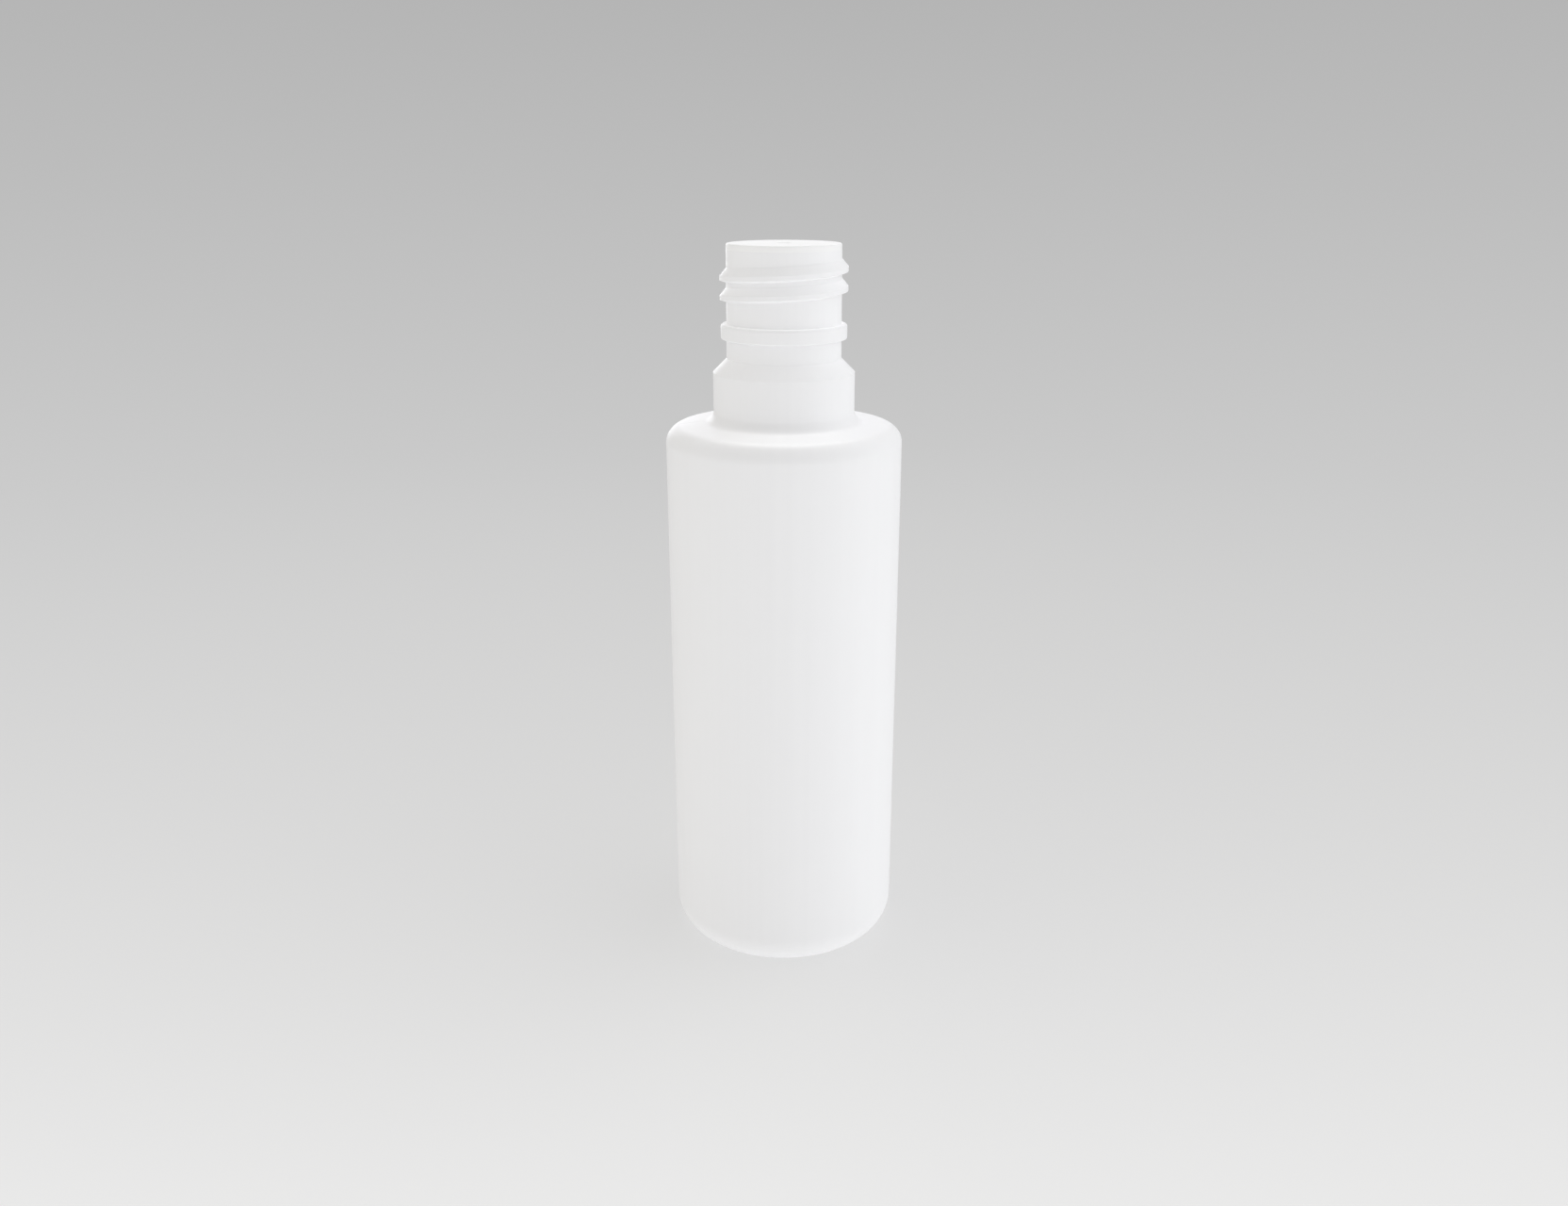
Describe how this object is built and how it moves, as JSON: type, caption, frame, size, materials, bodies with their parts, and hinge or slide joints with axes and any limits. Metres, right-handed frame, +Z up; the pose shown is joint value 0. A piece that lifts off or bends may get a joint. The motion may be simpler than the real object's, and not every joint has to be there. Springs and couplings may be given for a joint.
{
  "type": "cosmetic bottle",
  "caption": "Slim round white plastic cosmetic bottle: rounded base, sloping shoulder, bevelled collar, beaded and threaded neck, and a press-in plug that pulls out of the mouth.",
  "frame": {"origin": "middle of the ring that the bottle stands on, on the surface under it", "axes": "+Z up through the neck, -Y towards the side that the picture shows, +X to the right of that side"},
  "size_m": [0.041, 0.041, 0.1272],
  "materials": {
    "bottle_plastic": "smooth white moulded plastic with a soft gloss",
    "plug_plastic": "smooth white moulded plastic, slightly waxy"
  },
  "bodies": {
    "bottle": {"bottle": "bottle_plastic"},
    "plug": {"plug": "plug_plastic"}
  },
  "joints": [
    {"name": "plug_pull", "type": "slide", "parent": "bottle", "child": "plug", "axis": [0, 0, 1], "range_m": [0, 0.018]}
  ]
}
